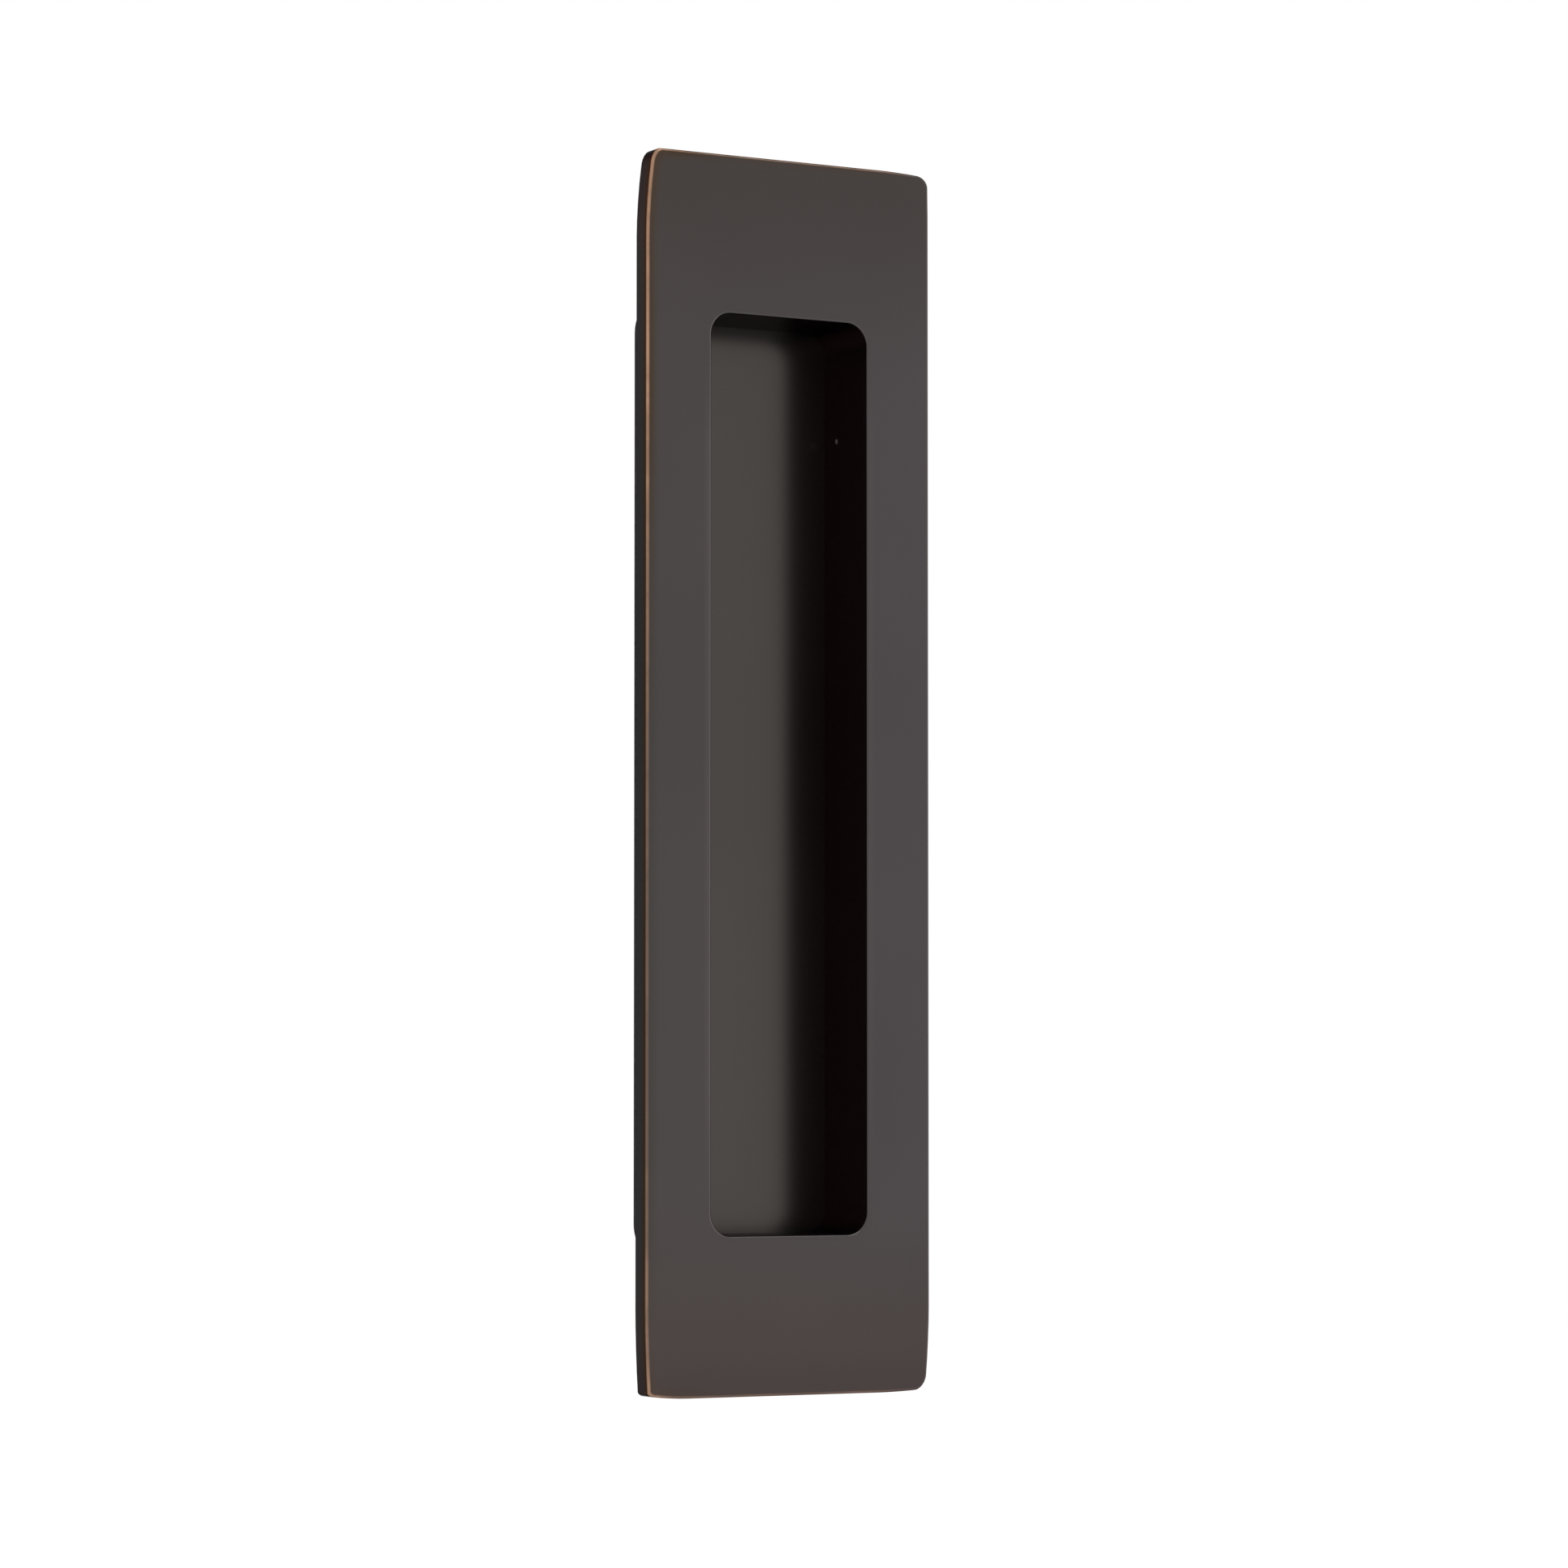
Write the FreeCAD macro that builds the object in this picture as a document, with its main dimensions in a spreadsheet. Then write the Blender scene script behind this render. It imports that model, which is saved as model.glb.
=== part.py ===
import FreeCAD, Part
import math
import os
import sys

import Sketcher

# Flush pull for a sliding pocket door: a thick face plate and the finger cup behind it are one brass
# casting, and two turned posts with tapped holes stand on the back of the plate to hold it in the door.
# Origin: centre of the plate's back, where it seats on the door. Front faces -Y, +Z is up.

DRIVING_SIZES = (
    ("plate_width", 47.6, "face plate, side to side"),
    ("plate_height", 181.0, "face plate, end to end"),
    ("plate_thick", 3.5, "face plate, front face to seat"),
    ("plate_corner", 2.0, "radius of the four corners seen from the front"),
    ("side_run_length", 12.5, "length over which polishing draws a long side in at each corner"),
    ("side_run_radius", 165.0, "radius of that run on the long sides"),
    ("end_run_length", 8.5, "length over which an end is drawn in at each corner"),
    ("end_run_radius", 80.0, "radius of that run on the ends"),
    ("edge_break", 0.45, "rounded front edge of the plate"),
    ("back_break", 0.25, "rounded back edge of the plate"),
    ("side_margin", 10.7, "face plate beside the finger opening"),
    ("end_margin", 23.3, "face plate above and below the finger opening"),
    ("opening_corner", 3.3, "corner radius of the opening, the cutter's radius"),
    ("rim_roll", 0.4, "rounded rim of the opening"),
    ("recess_depth", 12.5, "front face to recess floor"),
    ("floor_root", 0.15, "radius between recess floor and walls"),
    ("cup_wall", 5.0, "wall of the cup round the recess"),
    ("cup_floor", 3.7, "thickness of the cup's floor"),
    ("cup_corner", 6.5, "outer corner radius of the cup"),
    ("cup_draft", 1.0, "draft of the cup's outer walls, in degrees"),
    ("cup_edge", 1.6, "radius round the back of the cup"),
    ("cup_root", 0.6, "radius where the cup meets the plate"),
    ("post_diameter", 8.0, "fixing post"),
    ("post_length", 12.0, "fixing post, seat to end"),
    ("post_chamfer", 0.6, "chamfer round the post's end"),
    ("post_root", 1.9, "how far the post reaches into its blind socket"),
    ("braze_gap", 0.03, "gap for the filler round the post in its socket"),
    ("socket_gap", 0.1, "space left under the post in its socket"),
    ("tap_diameter", 3.3, "tapping hole for an M4 screw"),
    ("tap_depth", 12.4, "depth of full bore of the tapping hole"),
    ("tap_mouth", 4.3, "countersunk mouth of the tapping hole"),
)
DERIVED_SIZES = (
    ("opening_width", "=plate_width - 2 * side_margin", "finger opening, side to side"),
    ("opening_height", "=plate_height - 2 * end_margin", "finger opening, end to end"),
    ("cup_width", "=opening_width + 2 * cup_wall", "cup, side to side"),
    ("cup_height", "=opening_height + 2 * cup_wall", "cup, end to end"),
    ("cup_reach", "=recess_depth + cup_floor - plate_thick", "seat to back of the cup"),
    ("post_height", "=(plate_height + cup_height) / 4", "post's axis, halfway from cup to plate end"),
    ("socket_diameter", "=post_diameter + 2 * braze_gap", "blind socket for a post"),
    ("socket_depth", "=post_root + socket_gap", "depth of that socket"),
)
DRILL_POINT_ANGLE = 118.0
CLOSE = 0.01


def make_sheet(document):
    """Keeps the driving sizes, and those worked out from them, one named cell each."""
    sheet = document.addObject("Spreadsheet::Sheet", "sizes")
    for row, (name, value, meaning) in enumerate(DRIVING_SIZES + DERIVED_SIZES, start=1):
        sheet.set(f"A{row}", name)
        sheet.set(f"B{row}", str(value))
        sheet.set(f"C{row}", meaning)
        sheet.setAlias(f"B{row}", name)
    document.recompute()
    return sheet


def front_sketch(body, name, setback=None):
    """A sketch parallel to the front face. Its X is the pull's X and its Y is the pull's Z.
    setback is how far the sketch stands in front of the seat, as an expression."""
    planes = {feature.Role: feature for feature in body.Origin.OriginFeatures}
    sketch = body.newObject("Sketcher::SketchObject", name)
    sketch.AttachmentSupport = (planes["XZ_Plane"], [""])
    sketch.MapMode = "FlatFace"
    if setback:
        sketch.setExpression("AttachmentOffset.Base.z", setback)
    return sketch


def dimension(sketch, kind, *where_and_value, rule):
    """Adds one driving dimension and binds it to the sizes."""
    index = sketch.addConstraint(Sketcher.Constraint(kind, *where_and_value))
    sketch.setExpression(f"Constraints[{index}]", rule)


def arc(centre, radius, start, end):
    circle = Part.Circle(FreeCAD.Vector(centre[0], centre[1], 0), FreeCAD.Vector(0, 0, 1), radius)
    return Part.ArcOfCircle(circle, start, end)


def line(start, end):
    return Part.LineSegment(FreeCAD.Vector(start[0], start[1], 0), FreeCAD.Vector(end[0], end[1], 0))


def sketch_circle(sketch, centre, radius):
    return sketch.addGeometry(Part.Circle(centre, FreeCAD.Vector(0, 0, 1), radius))


def join_tangent(sketch, pieces):
    """Joins each piece's end to the next one's start, smoothly."""
    for here, after in zip(pieces, pieces[1:] + pieces[:1]):
        sketch.addConstraint(Sketcher.Constraint("Tangent", here, 2, after, 1))


def rounded_rectangle(sketch, width, height, radius, rules):
    """A rectangle with round corners, centred on the origin.
    rules are the expressions for width, height and corner radius."""
    across = width / 2 - radius
    up = height / 2 - radius
    quarter = math.pi / 2
    sides = (
        ((width / 2, -up), (width / 2, up), (across, up)),
        ((across, height / 2), (-across, height / 2), (-across, up)),
        ((-width / 2, up), (-width / 2, -up), (-across, -up)),
        ((-across, -height / 2), (across, -height / 2), (across, -up)),
    )
    lines = []
    corners = []
    for turn, (start, end, centre) in enumerate(sides):
        lines.append(sketch.addGeometry(line(start, end)))
        corners.append(sketch.addGeometry(arc(centre, radius, turn * quarter, (turn + 1) * quarter)))
    join_tangent(sketch, [piece for pair in zip(lines, corners) for piece in pair])
    for upright, level in (lines[:2], lines[2:]):
        sketch.addConstraint(Sketcher.Constraint("Vertical", upright))
        sketch.addConstraint(Sketcher.Constraint("Horizontal", level))
    for corner in corners[1:]:
        sketch.addConstraint(Sketcher.Constraint("Equal", corners[0], corner))
    sketch.addConstraint(Sketcher.Constraint("Symmetric", corners[0], 3, corners[2], 3, -1, 1))
    dimension(sketch, "DistanceX", lines[2], 1, lines[0], 2, width, rule=rules[0])
    dimension(sketch, "DistanceY", lines[3], 2, lines[1], 1, height, rule=rules[1])
    dimension(sketch, "Radius", corners[0], radius, rule=rules[2])


def corner_centre(side_centre, side_reach, end_centre, end_reach):
    """Centre of the circle that touches both run arcs of one corner from inside: it lies at
    side_reach from the centre of the side's run and at end_reach from that of the end's run."""
    gap_x = end_centre[0] - side_centre[0]
    gap_z = end_centre[1] - side_centre[1]
    gap = math.hypot(gap_x, gap_z)
    along = (side_reach**2 - end_reach**2 + gap**2) / (2 * gap)
    across = math.sqrt(side_reach**2 - along**2)
    unit_x = gap_x / gap
    unit_z = gap_z / gap
    return (
        side_centre[0] + along * unit_x - across * unit_z,
        side_centre[1] + along * unit_z + across * unit_x,
    )


def plate_outline(sketch, size):
    """The plate from the front. Each straight side runs into a long shallow arc, then the corner,
    because polishing takes the most off near the corners."""
    half_width = size.plate_width / 2
    half_height = size.plate_height / 2
    side_end = half_height - size.side_run_length
    end_end = half_width - size.end_run_length
    side_centre = (half_width - size.side_run_radius, side_end)
    end_centre = (end_end, half_height - size.end_run_radius)
    corner = corner_centre(
        side_centre,
        size.side_run_radius - size.plate_corner,
        end_centre,
        size.end_run_radius - size.plate_corner,
    )
    side_turn = math.atan2(corner[1] - side_centre[1], corner[0] - side_centre[0])
    end_turn = math.atan2(corner[1] - end_centre[1], corner[0] - end_centre[0])
    right_angle = math.pi / 2

    def quadrant(across, up, centre, radius, start, end):
        """One arc of the top right corner, carried to the corner on sides (across, up)."""
        centre = (across * centre[0], up * centre[1])
        if across < 0:
            start, end = math.pi - end, math.pi - start
        if up < 0:
            start, end = -end, -start
        return sketch.addGeometry(arc(centre, radius, start, end))

    corner_arcs = (
        (side_centre, size.side_run_radius, 0.0, side_turn),
        (corner, size.plate_corner, side_turn, end_turn),
        (end_centre, size.end_run_radius, end_turn, right_angle),
    )
    right = sketch.addGeometry(line((half_width, -side_end), (half_width, side_end)))
    top_right = [quadrant(1, 1, *piece) for piece in corner_arcs]
    top = sketch.addGeometry(line((end_end, half_height), (-end_end, half_height)))
    top_left = [quadrant(-1, 1, *piece) for piece in reversed(corner_arcs)]
    left = sketch.addGeometry(line((-half_width, side_end), (-half_width, -side_end)))
    low_left = [quadrant(-1, -1, *piece) for piece in corner_arcs]
    bottom = sketch.addGeometry(line((-end_end, -half_height), (end_end, -half_height)))
    low_right = [quadrant(1, -1, *piece) for piece in reversed(corner_arcs)]
    join_tangent(sketch, [right, *top_right, top, *top_left, left, *low_left, bottom, *low_right])

    side_runs = (top_right[0], top_left[2], low_left[0], low_right[2])
    corners = (top_right[1], top_left[1], low_left[1], low_right[1])
    end_runs = (top_right[2], top_left[0], low_left[2], low_right[0])
    for arcs, radius, rule in (
        (side_runs, size.side_run_radius, "sizes.side_run_radius"),
        (corners, size.plate_corner, "sizes.plate_corner"),
        (end_runs, size.end_run_radius, "sizes.end_run_radius"),
    ):
        for other in arcs[1:]:
            sketch.addConstraint(Sketcher.Constraint("Equal", arcs[0], other))
        dimension(sketch, "Radius", arcs[0], radius, rule=rule)

    side_rule = "sizes.plate_height / 2 - sizes.side_run_length"
    end_rule = "sizes.plate_width / 2 - sizes.end_run_length"
    for side, low, high in ((right, 1, 2), (left, 2, 1)):
        sketch.addConstraint(Sketcher.Constraint("Vertical", side))
        dimension(sketch, "DistanceY", -1, 1, side, high, side_end, rule=side_rule)
        dimension(sketch, "DistanceY", side, low, -1, 1, side_end, rule=side_rule)
    for side, low, high in ((top, 2, 1), (bottom, 1, 2)):
        sketch.addConstraint(Sketcher.Constraint("Horizontal", side))
        dimension(sketch, "DistanceX", -1, 1, side, high, end_end, rule=end_rule)
        dimension(sketch, "DistanceX", side, low, -1, 1, end_end, rule=end_rule)
    dimension(sketch, "DistanceX", -1, 1, right, 1, half_width, rule="sizes.plate_width / 2")
    dimension(sketch, "DistanceX", left, 1, -1, 1, half_width, rule="sizes.plate_width / 2")
    dimension(sketch, "DistanceY", -1, 1, top, 1, half_height, rule="sizes.plate_height / 2")
    dimension(sketch, "DistanceY", bottom, 1, -1, 1, half_height, rule="sizes.plate_height / 2")


def pad(body, name, sketch, length_rule, backwards=False):
    """Adds metal in front of the sketch, or behind it when backwards."""
    feature = body.newObject("PartDesign::Pad", name)
    feature.Profile = sketch
    feature.Reversed = backwards
    feature.setExpression("Length", length_rule)
    body.Document.recompute()
    return feature


def pocket(body, name, sketch, depth_rule, away_from_front):
    """Cuts from the sketch and makes sure that metal really went."""
    before = body.Tip.Shape.Volume
    feature = body.newObject("PartDesign::Pocket", name)
    feature.Profile = sketch
    feature.Reversed = not away_from_front
    feature.setExpression("Length", depth_rule)
    body.Document.recompute()
    if feature.Shape.Volume > before - CLOSE:
        sys.exit(f"{name} cut nothing")
    return feature


def edges_at(shape, belongs):
    """Names of the edges whose every corner passes the test belongs(x, y, z)."""
    names = []
    for number, edge in enumerate(shape.Edges, start=1):
        points = [edge.valueAt(edge.FirstParameter), edge.valueAt(edge.LastParameter)]
        points.append(edge.valueAt((edge.FirstParameter + edge.LastParameter) / 2))
        if all(belongs(point.x, point.y, point.z) for point in points):
            names.append(f"Edge{number}")
    return names


def fillet(body, name, radius_rule, belongs):
    """Rounds the edges that pass the test."""
    base = body.Tip
    names = edges_at(base.Shape, belongs)
    if not names:
        sys.exit(f"{name} found no edge to round")
    feature = body.newObject("PartDesign::Fillet", name)
    feature.Base = (base, names)
    feature.setExpression("Radius", radius_rule)
    body.Document.recompute()
    return feature


def make_pull_body(document, size):
    """Face plate and finger cup, one casting."""
    body = document.addObject("PartDesign::Body", "pull_body")
    body.Label = "pull_body"

    outline = front_sketch(body, "plate_outline")
    plate_outline(outline, size)
    pad(body, "plate", outline, "sizes.plate_thick")

    cup_outline = front_sketch(body, "cup_outline")
    rounded_rectangle(
        cup_outline,
        size.cup_width,
        size.cup_height,
        size.cup_corner,
        ("sizes.cup_width", "sizes.cup_height", "sizes.cup_corner"),
    )
    cup = pad(body, "cup", cup_outline, "sizes.cup_reach", backwards=True)
    cup.setExpression("TaperAngle", "-sizes.cup_draft")
    document.recompute()

    opening = front_sketch(body, "opening_outline", setback="sizes.plate_thick")
    rounded_rectangle(
        opening,
        size.opening_width,
        size.opening_height,
        size.opening_corner,
        ("sizes.opening_width", "sizes.opening_height", "sizes.opening_corner"),
    )
    pocket(body, "recess", opening, "sizes.recess_depth", away_from_front=True)

    sockets = front_sketch(body, "socket_outline")
    for side in (1, -1):
        place = FreeCAD.Vector(0, side * size.post_height, 0)
        circle = sketch_circle(sockets, place, size.socket_diameter / 2)
        dimension(sockets, "Diameter", circle, size.socket_diameter, rule="sizes.socket_diameter")
        sockets.addConstraint(Sketcher.Constraint("PointOnObject", circle, 3, -2))
        ends = (-1, 1, circle, 3) if side > 0 else (circle, 3, -1, 1)
        dimension(sockets, "DistanceY", *ends, size.post_height, rule="sizes.post_height")
    pocket(body, "post_sockets", sockets, "sizes.socket_depth", away_from_front=False)

    front = -size.plate_thick
    recess_floor = size.recess_depth - size.plate_thick

    def in_opening(x, z):
        return abs(x) < size.opening_width / 2 + CLOSE and abs(z) < size.opening_height / 2 + CLOSE

    def beyond_cup(x, z):
        return abs(x) > size.cup_width / 2 + CLOSE or abs(z) > size.cup_height / 2 + CLOSE

    def in_socket(x, z):
        return math.hypot(x, abs(z) - size.post_height) < size.socket_diameter / 2 + CLOSE

    fillet(body, "cup_back_edge", "sizes.cup_edge", lambda x, y, z: abs(y - size.cup_reach) < CLOSE)
    fillet(
        body,
        "cup_foot",
        "sizes.cup_root",
        lambda x, y, z: abs(y) < CLOSE and not beyond_cup(x, z),
    )
    fillet(
        body,
        "recess_foot",
        "sizes.floor_root",
        lambda x, y, z: abs(y - recess_floor) < CLOSE and in_opening(x, z),
    )
    fillet(
        body,
        "rolled_rim",
        "sizes.rim_roll",
        lambda x, y, z: abs(y - front) < CLOSE and in_opening(x, z),
    )
    fillet(
        body,
        "front_edge",
        "sizes.edge_break",
        lambda x, y, z: abs(y - front) < CLOSE and beyond_cup(x, z),
    )
    fillet(
        body,
        "seat_edge",
        "sizes.back_break",
        lambda x, y, z: abs(y) < CLOSE and beyond_cup(x, z) and not in_socket(x, z),
    )
    return body


def make_post(document, size, name, side):
    """A turned post, brazed into its socket in the plate, with a tapped hole from its free end."""
    body = document.addObject("PartDesign::Body", name)
    body.Label = name
    body.setExpression("Placement.Base.z", f"{side} * sizes.post_height")

    planes = {feature.Role: feature for feature in body.Origin.OriginFeatures}
    half_profile = body.newObject("Sketcher::SketchObject", f"{name}_profile")
    half_profile.AttachmentSupport = (planes["XY_Plane"], [""])
    half_profile.MapMode = "FlatFace"
    radius = size.post_diameter / 2
    corners = (
        (0, -size.post_root),
        (radius, -size.post_root),
        (radius, size.post_length - size.post_chamfer),
        (radius - size.post_chamfer, size.post_length),
        (0, size.post_length),
    )
    sides = [half_profile.addGeometry(line(*ends)) for ends in zip(corners, corners[1:] + corners[:1])]
    root, barrel, chamfer, end, axis = sides
    for here, after in zip(sides, sides[1:] + sides[:1]):
        half_profile.addConstraint(Sketcher.Constraint("Coincident", here, 2, after, 1))
    half_profile.addConstraint(Sketcher.Constraint("Horizontal", root))
    half_profile.addConstraint(Sketcher.Constraint("Vertical", barrel))
    half_profile.addConstraint(Sketcher.Constraint("Horizontal", end))
    half_profile.addConstraint(Sketcher.Constraint("PointOnObject", axis, 1, -2))
    half_profile.addConstraint(Sketcher.Constraint("PointOnObject", axis, 2, -2))
    for kind, first, first_end, second, second_end, value, rule in (
        ("DistanceY", root, 2, -1, 1, size.post_root, "sizes.post_root"),
        ("DistanceX", -1, 1, barrel, 1, radius, "sizes.post_diameter / 2"),
        ("DistanceY", -1, 1, end, 1, size.post_length, "sizes.post_length"),
        ("DistanceX", chamfer, 2, chamfer, 1, size.post_chamfer, "sizes.post_chamfer"),
        ("DistanceY", chamfer, 1, chamfer, 2, size.post_chamfer, "sizes.post_chamfer"),
    ):
        dimension(half_profile, kind, first, first_end, second, second_end, value, rule=rule)
    turned = body.newObject("PartDesign::Revolution", f"{name}_turned")
    turned.Profile = half_profile
    turned.ReferenceAxis = (planes["Y_Axis"], [""])
    turned.Angle = 360
    document.recompute()

    mouth = front_sketch(body, f"{name}_mouth", setback="-sizes.post_length")
    circle = sketch_circle(mouth, FreeCAD.Vector(0, 0, 0), size.tap_diameter / 2)
    mouth.addConstraint(Sketcher.Constraint("Coincident", circle, 3, -1, 1))
    dimension(mouth, "Diameter", circle, size.tap_diameter, rule="sizes.tap_diameter")
    document.recompute()
    before = body.Tip.Shape.Volume
    hole = body.newObject("PartDesign::Hole", f"{name}_tapping_hole")
    hole.Profile = mouth
    document.recompute()
    hole.Reversed = True
    hole.DepthType = "Dimension"
    hole.DrillPoint = "Angled"
    hole.DrillPointAngle = DRILL_POINT_ANGLE
    hole.HoleCutType = "Countersink"
    hole.setExpression("Diameter", "sizes.tap_diameter")
    hole.setExpression("Depth", "sizes.tap_depth")
    hole.setExpression("HoleCutDiameter", "sizes.tap_mouth")
    document.recompute()
    if hole.Shape.Volume > before - CLOSE:
        sys.exit(f"the tapping hole of {name} cut nothing")
    return body


def main():
    document = FreeCAD.newDocument("flush_pull")
    size = make_sheet(document)
    pieces = [
        make_pull_body(document, size),
        make_post(document, size, "fixing_post_upper", 1),
        make_post(document, size, "fixing_post_lower", -1),
    ]
    document.recompute()
    for thing in document.Objects:
        if "Invalid" in thing.State or "Error" in thing.State:
            sys.exit(f"{thing.Name} failed: {thing.State}")
    for piece in pieces:
        if piece.Shape.isNull() or not piece.Shape.isValid():
            sys.exit(f"{piece.Label} has no valid shape")
    os.makedirs("parts", exist_ok=True)
    for piece in pieces:
        piece.Shape.exportStep(os.path.join("parts", f"{piece.Label}.step"))
        box = piece.Shape.BoundBox
        print(
            f"{piece.Label}: {box.XLength:.2f} x {box.YLength:.2f} x {box.ZLength:.2f} mm,"
            f" {piece.Shape.Volume:.1f} mm3, {len(piece.Shape.Solids)} solid"
        )


main()
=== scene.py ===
# %% [markdown]
# A flush pull for a pocket door, in oil-rubbed bronze
#
# A pocket door slides into the wall, so its pull may not stand out. This one is a thick face
# plate with a finger cup behind it, cast in one piece of brass and given a dark patina. The
# plate seats on the door and the cup drops into a mortise. Two tapped posts on the back hold it
# with hidden screws.
#
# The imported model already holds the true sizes. This file loads it, models the two kinds of
# piece again with soft edges and real thread, and gives them their finishes, light and camera.

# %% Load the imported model
import math

import bmesh
import bpy
from mathutils import Matrix, Vector


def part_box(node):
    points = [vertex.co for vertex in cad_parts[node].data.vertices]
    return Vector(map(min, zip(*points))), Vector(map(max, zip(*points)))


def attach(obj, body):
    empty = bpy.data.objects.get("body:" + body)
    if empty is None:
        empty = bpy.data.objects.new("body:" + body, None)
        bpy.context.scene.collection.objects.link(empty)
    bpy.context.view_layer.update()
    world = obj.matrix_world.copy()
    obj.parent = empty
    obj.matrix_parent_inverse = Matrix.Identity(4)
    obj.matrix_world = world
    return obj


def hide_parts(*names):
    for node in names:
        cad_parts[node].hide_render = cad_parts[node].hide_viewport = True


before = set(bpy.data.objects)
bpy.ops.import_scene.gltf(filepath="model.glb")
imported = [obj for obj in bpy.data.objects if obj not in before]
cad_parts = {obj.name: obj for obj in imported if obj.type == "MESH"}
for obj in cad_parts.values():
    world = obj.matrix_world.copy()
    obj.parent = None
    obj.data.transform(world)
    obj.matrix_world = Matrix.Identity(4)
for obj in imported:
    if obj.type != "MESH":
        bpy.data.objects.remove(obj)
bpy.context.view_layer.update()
print("nodes:", sorted(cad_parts))

# %% [markdown]
# Sizes
#
# Blender works in metres here and a brass pull is measured in millimetres, so every size is
# written in millimetres and multiplied by MM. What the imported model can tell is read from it:
# the plate's width and height, the front face and the back of the cup. The seat is at y = 0.
# The rest are the margins, walls, depths and radii that a box can't tell.

# %% Sizes of the casting
MM = 0.001
body_low, body_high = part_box("pull_body")
PLATE_WIDTH = body_high.x - body_low.x
PLATE_HEIGHT = body_high.z - body_low.z
FRONT_Y = body_low.y
SEAT_Y = 0.0
CUP_BACK_Y = body_high.y

SIDE_MARGIN = 10.7 * MM
END_MARGIN = 23.3 * MM
OPENING_WIDTH = PLATE_WIDTH - 2 * SIDE_MARGIN
OPENING_HEIGHT = PLATE_HEIGHT - 2 * END_MARGIN
OPENING_CORNER = 3.3 * MM
RECESS_DEPTH = 12.5 * MM
RECESS_FLOOR_Y = FRONT_Y + RECESS_DEPTH
CUP_WALL = 5.0 * MM
CUP_CORNER = 6.5 * MM
CUP_DRAFT = math.radians(1.0)
print(f"plate {PLATE_WIDTH / MM:.1f} x {PLATE_HEIGHT / MM:.1f} mm")
print(f"opening {OPENING_WIDTH / MM:.1f} x {OPENING_HEIGHT / MM:.1f} mm")

# %% [markdown]
# Outlines made by rounding a few points
#
# Every edge of this casting runs round one of four outlines: the plate, the opening, the foot
# of the cup and its back. Each could be drawn as a curve, but a face with a few corner points
# whose corners are then bevelled gives the same round stretches, and the count of points stays
# in our hands. All the outlines get the same number of points, 19 at each corner, so that they
# can be bridged into clean strips of four-sided faces.

# %% Outline helpers
CORNER_STEPS = 18
print("points at each round corner:", CORNER_STEPS + 1)


def flat_face(bm, points, y):
    """One face in the plane at depth y from (x, z) points."""
    return bm.faces.new([bm.verts.new((x, y, z)) for x, z in points])


def round_points(bm, verts, reach, steps):
    """Rounds the corners of a flat face. reach is how far along each side the round begins."""
    bmesh.ops.bevel(
        bm,
        geom=verts,
        offset=reach,
        offset_type="OFFSET",
        affect="VERTICES",
        segments=steps,
        profile=0.5,
        material=-1,
    )


def outline_edges(bm, face):
    """Takes the face away and leaves its outline as loose edges."""
    edges = list(face.edges)
    bmesh.ops.delete(bm, geom=[face], context="FACES_ONLY")
    return edges


def box_outline(bm, width, height, corner, y):
    """A rectangle with round corners, centred on the pull's axis."""
    before = set(bm.faces)
    signs = (1, -1), (1, 1), (-1, 1), (-1, -1)
    face = flat_face(bm, [(sx * width / 2, sz * height / 2) for sx, sz in signs], y)
    round_points(bm, list(face.verts), corner, CORNER_STEPS)
    (rounded,) = [face for face in bm.faces if face not in before]
    return outline_edges(bm, rounded)


# %% [markdown]
# The plate's outline
#
# A plate that has been polished by hand isn't a plain rounded rectangle. The wheel takes more
# metal near the corners, so each straight side begins to draw in some millimetres before its
# corner. That is three rounds a corner: a long shallow one on the side, the tip itself, and a
# shallow one on the end. The three share the same 18 steps that the other outlines spend on one
# corner.
#
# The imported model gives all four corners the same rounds. By hand no two come out alike, so
# here each corner has a line of its own. The long runs differ most: 6 mm at the top right, 12.5
# mm at the others.

# %% Plate outline
RUN_STEPS = 4
TIP_STEPS = CORNER_STEPS - 2 * (RUN_STEPS + 1)
POLISHED_CORNERS = (
    # sides of the corner, then in mm the length and radius of the side's run, the length and
    # radius of the end's run, and the radius of the tip
    ((1, 1), 6.0, 150.0, 8.5, 80.0, 2.0),
    ((-1, 1), 12.5, 70.0, 4.0, 200.0, 2.3),
    ((-1, -1), 12.5, 165.0, 7.0, 45.0, 1.0),
    ((1, -1), 12.5, 105.0, 8.5, 90.0, 2.5),
)
print("points at each plate corner:", 2 * (RUN_STEPS + 1) + TIP_STEPS + 1)


def corner_points(
    half_width, half_height, side_length, side_radius, end_length, end_radius, tip
):
    """The knee of the side's run, the tip and the knee of the end's run, for the top right
    corner. Each is x, z, how far along its sides its round reaches, and the round's steps."""
    side_reach = (side_length - tip) / 2
    end_reach = (end_length - tip) / 2
    side_turn = 2 * side_reach / side_radius
    end_turn = 2 * end_reach / end_radius
    side_knee = half_height - side_length + side_reach
    end_knee = half_width - end_length + end_reach
    drop = (half_width - end_knee) * math.tan(end_turn)
    tip_x = half_width - (half_height - drop - side_knee) * math.tan(side_turn)
    tip_z = half_height - (tip_x - end_knee) * math.tan(end_turn)
    tip_reach = tip * math.tan((math.pi / 2 - side_turn - end_turn) / 2)
    return (
        (half_width, side_knee, side_reach, RUN_STEPS),
        (tip_x, tip_z, tip_reach, TIP_STEPS),
        (end_knee, half_height, end_reach, RUN_STEPS),
    )


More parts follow.
